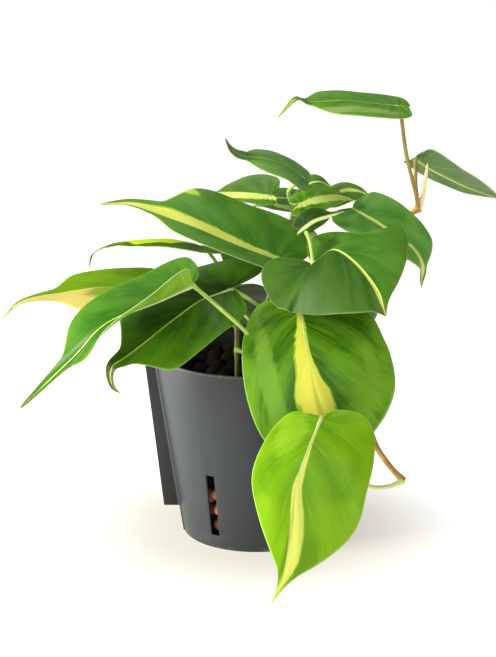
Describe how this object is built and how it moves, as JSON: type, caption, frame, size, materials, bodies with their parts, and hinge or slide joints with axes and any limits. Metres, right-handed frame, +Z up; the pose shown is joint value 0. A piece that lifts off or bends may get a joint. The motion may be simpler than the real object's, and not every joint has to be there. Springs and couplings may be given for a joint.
{
  "type": "potted philodendron",
  "caption": "Heart-leaf climbing plant with lime-streaked leaves on thin trailing vines, standing in a tapered plastic culture pot filled with expanded-clay pebbles.",
  "frame": {"origin": "centre of the pot's base, on the floor", "axes": "+Z up along the pot's axis, front of the plant towards -Y, gauge guide on the pot's -X side"},
  "size_m": [0.325, 0.258, 0.2812],
  "materials": {
    "pot": "anthracite injection-moulded plastic, low sheen",
    "clay_pebbles": "rough fired clay, reddish brown",
    "vine_left": "living plant stem, brown on the old wood and yellow-green on the leaf stalks",
    "vine_centre": "living plant stem, brown on the old wood and yellow-green on the leaf stalks",
    "vine_right": "living plant stem, brown on the old wood and yellow-green on the leaf stalks",
    "vine_trailing": "living plant stem, brown on the old wood and yellow-green on the leaf stalks",
    "vine_back": "living plant stem, brown on the old wood and yellow-green on the leaf stalks",
    "leaf_front_low": "living leaf, waxy low sheen, a cream to lime streak along the midrib",
    "leaf_front_hanging": "living leaf, waxy low sheen, a cream to lime streak along the midrib",
    "leaf_centre": "living leaf, waxy low sheen, a cream to lime streak along the midrib",
    "leaf_left_large": "living leaf, waxy low sheen, a cream to lime streak along the midrib",
    "leaf_left_long": "living leaf, waxy low sheen, a cream to lime streak along the midrib",
    "leaf_over_rim": "living leaf, waxy low sheen, a cream to lime streak along the midrib",
    "leaf_left_cream": "living leaf, waxy low sheen, a cream to lime streak along the midrib",
    "leaf_left_thin": "living leaf, waxy low sheen, a cream to lime streak along the midrib",
    "leaf_top_right": "living leaf, waxy low sheen, a cream to lime streak along the midrib",
    "leaf_right_far": "living leaf, waxy low sheen, a cream to lime streak along the midrib",
    "leaf_right_dark": "living leaf, waxy low sheen, a cream to lime streak along the midrib",
    "leaf_top_horn": "living leaf, waxy low sheen, a cream to lime streak along the midrib",
    "leaf_top_yellow": "living leaf, waxy low sheen, a cream to lime streak along the midrib",
    "leaf_young_dark": "living leaf, waxy low sheen, a cream to lime streak along the midrib",
    "leaf_young_cream": "living leaf, waxy low sheen, a cream to lime streak along the midrib",
    "leaf_young_right": "living leaf, waxy low sheen, a cream to lime streak along the midrib",
    "leaf_young_back": "living leaf, waxy low sheen, a cream to lime streak along the midrib",
    "leaf_inner_dark": "living leaf, waxy low sheen, a cream to lime streak along the midrib",
    "leaf_back_left": "living leaf, waxy low sheen, a cream to lime streak along the midrib",
    "leaf_back_right": "living leaf, waxy low sheen, a cream to lime streak along the midrib",
    "leaf_back_high": "living leaf, waxy low sheen, a cream to lime streak along the midrib"
  },
  "bodies": {
    "root": {"pot": "pot", "clay_pebbles": "clay_pebbles", "vine_left": "vine_left", "vine_centre": "vine_centre", "vine_right": "vine_right", "vine_trailing": "vine_trailing", "vine_back": "vine_back", "leaf_front_low": "leaf_front_low", "leaf_front_hanging": "leaf_front_hanging", "leaf_centre": "leaf_centre", "leaf_left_large": "leaf_left_large", "leaf_left_long": "leaf_left_long", "leaf_over_rim": "leaf_over_rim", "leaf_left_cream": "leaf_left_cream", "leaf_left_thin": "leaf_left_thin", "leaf_top_right": "leaf_top_right", "leaf_right_far": "leaf_right_far", "leaf_right_dark": "leaf_right_dark", "leaf_top_horn": "leaf_top_horn", "leaf_top_yellow": "leaf_top_yellow", "leaf_young_dark": "leaf_young_dark", "leaf_young_cream": "leaf_young_cream", "leaf_young_right": "leaf_young_right", "leaf_young_back": "leaf_young_back", "leaf_inner_dark": "leaf_inner_dark", "leaf_back_left": "leaf_back_left", "leaf_back_right": "leaf_back_right", "leaf_back_high": "leaf_back_high"}
  },
  "joints": []
}
